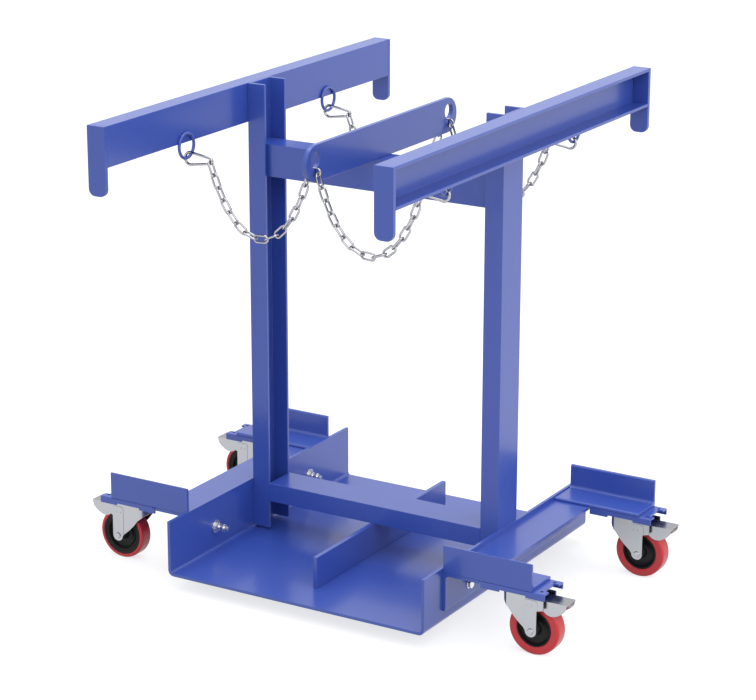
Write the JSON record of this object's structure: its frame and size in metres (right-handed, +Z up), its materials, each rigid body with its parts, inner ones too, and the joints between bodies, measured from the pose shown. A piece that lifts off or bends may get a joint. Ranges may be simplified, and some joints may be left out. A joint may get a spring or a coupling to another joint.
{
  "type": "gas cylinder trolley",
  "caption": "Low steel tray on braked swivel casters with an upright frame, top rails and snap-hook chains that hold gas cylinders upright.",
  "frame": {"origin": "on the floor, under the middle of the trolley", "axes": "+X across the trolley to the right-hand casters, +Y along the top rails to the back, +Z up"},
  "size_m": [1.394, 1.306, 1.242],
  "materials": {
    "blue_paint": "glossy blue paint",
    "zinc_steel": "bright zinc plating",
    "caster_zinc": "satin zinc plating",
    "wheel_core": "black moulded core",
    "tyre_red": "red polyurethane"
  },
  "bodies": {
    "frame": {"base_tray": "blue_paint", "tray_divider": "blue_paint", "left_post": "blue_paint", "right_post": "blue_paint", "left_rail": "blue_paint", "right_rail": "blue_paint", "rail_end_plates": "blue_paint", "upper_cross_member": "blue_paint", "lower_cross_member": "blue_paint", "chain_plate": "blue_paint", "left_side_angle": "blue_paint", "right_side_angle": "blue_paint", "caster_brackets": "blue_paint", "chain_rings": "blue_paint", "tray_bolts": "zinc_steel", "tray_nuts": "zinc_steel", "tray_washers": "zinc_steel", "chain_centre_links": "zinc_steel", "kingpins": "zinc_steel", "caster_plate_front_left": "blue_paint", "caster_plate_front_right": "blue_paint", "caster_plate_back_left": "blue_paint", "caster_plate_back_right": "blue_paint"},
    "caster_front_left": {"fork_front_left": "caster_zinc", "axle_front_left": "zinc_steel"},
    "wheel_front_left": {"wheel_front_left": "wheel_core", "tyre_front_left": "tyre_red"},
    "brake_front_left": {"brake_pedal_front_left": "caster_zinc"},
    "chain_front_left": {"chain_front_left": "zinc_steel", "hook_front_left": "zinc_steel"},
    "gate_front_left": {"hook_gate_front_left": "zinc_steel"},
    "caster_front_right": {"fork_front_right": "caster_zinc", "axle_front_right": "zinc_steel"},
    "wheel_front_right": {"wheel_front_right": "wheel_core", "tyre_front_right": "tyre_red"},
    "brake_front_right": {"brake_pedal_front_right": "caster_zinc"},
    "chain_front_right": {"chain_front_right": "zinc_steel", "hook_front_right": "zinc_steel"},
    "gate_front_right": {"hook_gate_front_right": "zinc_steel"},
    "caster_back_left": {"fork_back_left": "caster_zinc", "axle_back_left": "zinc_steel"},
    "wheel_back_left": {"wheel_back_left": "wheel_core", "tyre_back_left": "tyre_red"},
    "brake_back_left": {"brake_pedal_back_left": "caster_zinc"},
    "chain_back_left": {"chain_back_left": "zinc_steel", "hook_back_left": "zinc_steel"},
    "gate_back_left": {"hook_gate_back_left": "zinc_steel"},
    "caster_back_right": {"fork_back_right": "caster_zinc", "axle_back_right": "zinc_steel"},
    "wheel_back_right": {"wheel_back_right": "wheel_core", "tyre_back_right": "tyre_red"},
    "brake_back_right": {"brake_pedal_back_right": "caster_zinc"},
    "chain_back_right": {"chain_back_right": "zinc_steel", "hook_back_right": "zinc_steel"},
    "gate_back_right": {"hook_gate_back_right": "zinc_steel"}
  },
  "joints": [
    {"name": "swivel_front_left", "type": "hinge", "parent": "frame", "child": "caster_front_left", "pos_m": [-0.564, -0.291, 0.1635], "axis": [0, 0, 1], "continuous": true},
    {"name": "roll_front_left", "type": "hinge", "parent": "caster_front_left", "child": "wheel_front_left", "pos_m": [-0.608, -0.291, 0.067], "axis": [0, -1, 0], "continuous": true},
    {"name": "brake_front_left", "type": "hinge", "parent": "caster_front_left", "child": "brake_front_left", "pos_m": [-0.626, -0.291, 0.1335], "axis": [0, -1, 0], "range_deg": [0, 10]},
    {"name": "chain_swing_front_left", "type": "hinge", "parent": "frame", "child": "chain_front_left", "pos_m": [-0.01308, -0.321, 1.10572], "axis": [-1, 0, -0.0037], "range_deg": [-15, 15]},
    {"name": "gate_front_left", "type": "hinge", "parent": "chain_front_left", "child": "gate_front_left", "pos_m": [-0.30475, -0.321, 1.09511], "axis": [0, 1, 0], "range_deg": [0, 20], "stiffness_Nm_per_rad": 0.02, "springref_deg": -20.05},
    {"name": "swivel_front_right", "type": "hinge", "parent": "frame", "child": "caster_front_right", "pos_m": [0.564, -0.291, 0.1635], "axis": [0, 0, 1], "continuous": true},
    {"name": "roll_front_right", "type": "hinge", "parent": "caster_front_right", "child": "wheel_front_right", "pos_m": [0.608, -0.291, 0.067], "axis": [0, 1, 0], "continuous": true},
    {"name": "brake_front_right", "type": "hinge", "parent": "caster_front_right", "child": "brake_front_right", "pos_m": [0.626, -0.291, 0.1335], "axis": [0, 1, 0], "range_deg": [0, 10]},
    {"name": "chain_swing_front_right", "type": "hinge", "parent": "frame", "child": "chain_front_right", "pos_m": [0.01308, -0.321, 1.10572], "axis": [1, 0, -0.0037], "range_deg": [-15, 15]},
    {"name": "gate_front_right", "type": "hinge", "parent": "chain_front_right", "child": "gate_front_right", "pos_m": [0.30475, -0.321, 1.09511], "axis": [0, -1, 0], "range_deg": [0, 20], "stiffness_Nm_per_rad": 0.02, "springref_deg": -20.05},
    {"name": "swivel_back_left", "type": "hinge", "parent": "frame", "child": "caster_back_left", "pos_m": [-0.564, 0.291, 0.1635], "axis": [0, 0, 1], "continuous": true},
    {"name": "roll_back_left", "type": "hinge", "parent": "caster_back_left", "child": "wheel_back_left", "pos_m": [-0.608, 0.291, 0.067], "axis": [0, -1, 0], "continuous": true},
    {"name": "brake_back_left", "type": "hinge", "parent": "caster_back_left", "child": "brake_back_left", "pos_m": [-0.626, 0.291, 0.1335], "axis": [0, -1, 0], "range_deg": [0, 10]},
    {"name": "chain_swing_back_left", "type": "hinge", "parent": "frame", "child": "chain_back_left", "pos_m": [-0.01308, 0.321, 1.10572], "axis": [1, 0, 0.0037], "range_deg": [-15, 15]},
    {"name": "gate_back_left", "type": "hinge", "parent": "chain_back_left", "child": "gate_back_left", "pos_m": [-0.30475, 0.321, 1.09511], "axis": [0, 1, 0], "range_deg": [0, 20], "stiffness_Nm_per_rad": 0.02, "springref_deg": -20.05},
    {"name": "swivel_back_right", "type": "hinge", "parent": "frame", "child": "caster_back_right", "pos_m": [0.564, 0.291, 0.1635], "axis": [0, 0, 1], "continuous": true},
    {"name": "roll_back_right", "type": "hinge", "parent": "caster_back_right", "child": "wheel_back_right", "pos_m": [0.608, 0.291, 0.067], "axis": [0, 1, 0], "continuous": true},
    {"name": "brake_back_right", "type": "hinge", "parent": "caster_back_right", "child": "brake_back_right", "pos_m": [0.626, 0.291, 0.1335], "axis": [0, 1, 0], "range_deg": [0, 10]},
    {"name": "chain_swing_back_right", "type": "hinge", "parent": "frame", "child": "chain_back_right", "pos_m": [0.01308, 0.321, 1.10572], "axis": [-1, 0, 0.0037], "range_deg": [-15, 15]},
    {"name": "gate_back_right", "type": "hinge", "parent": "chain_back_right", "child": "gate_back_right", "pos_m": [0.30475, 0.321, 1.09511], "axis": [0, -1, 0], "range_deg": [0, 20], "stiffness_Nm_per_rad": 0.02, "springref_deg": -20.05}
  ]
}
